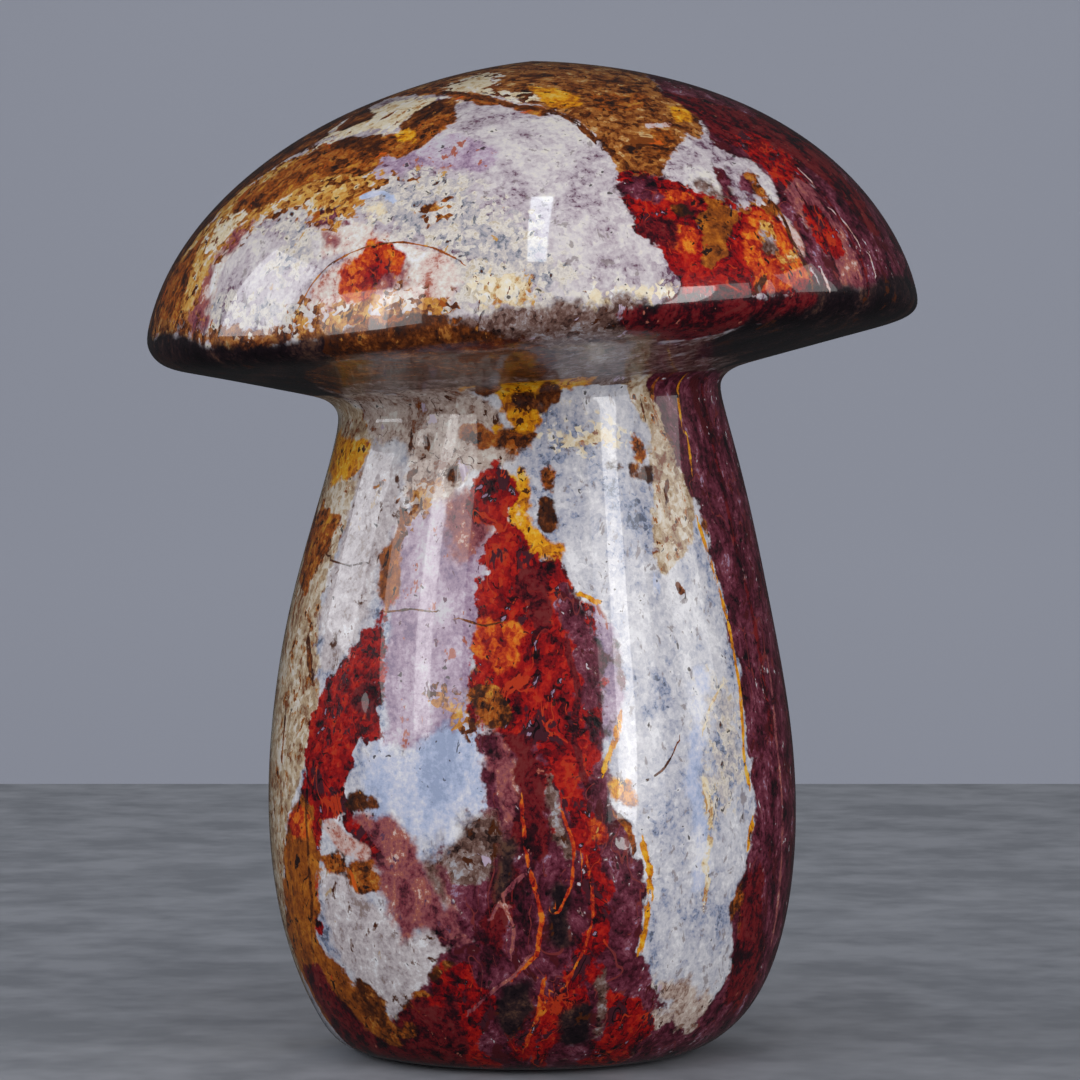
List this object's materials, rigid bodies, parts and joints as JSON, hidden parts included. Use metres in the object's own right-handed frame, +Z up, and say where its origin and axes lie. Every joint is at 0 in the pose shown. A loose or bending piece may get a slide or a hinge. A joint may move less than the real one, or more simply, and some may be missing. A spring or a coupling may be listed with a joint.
{
  "type": "iron agate mushroom",
  "caption": "Carved and polished iron agate mushroom in one piece, with a leaning dome cap, a bulging stem and a small flat foot",
  "frame": {"origin": "middle of the stone's box, on the surface that its foot rests on", "axes": "+Z up along the stem, -Y towards the pictured front, +X to that front's right"},
  "size_m": [0.0936, 0.0936, 0.12],
  "materials": {
    "polished_agate": "polished iron agate, glossy, in red, plum, white, lavender and ochre patches with brown flecks"
  },
  "bodies": {
    "root": {"agate_mushroom": "polished_agate"}
  },
  "joints": []
}
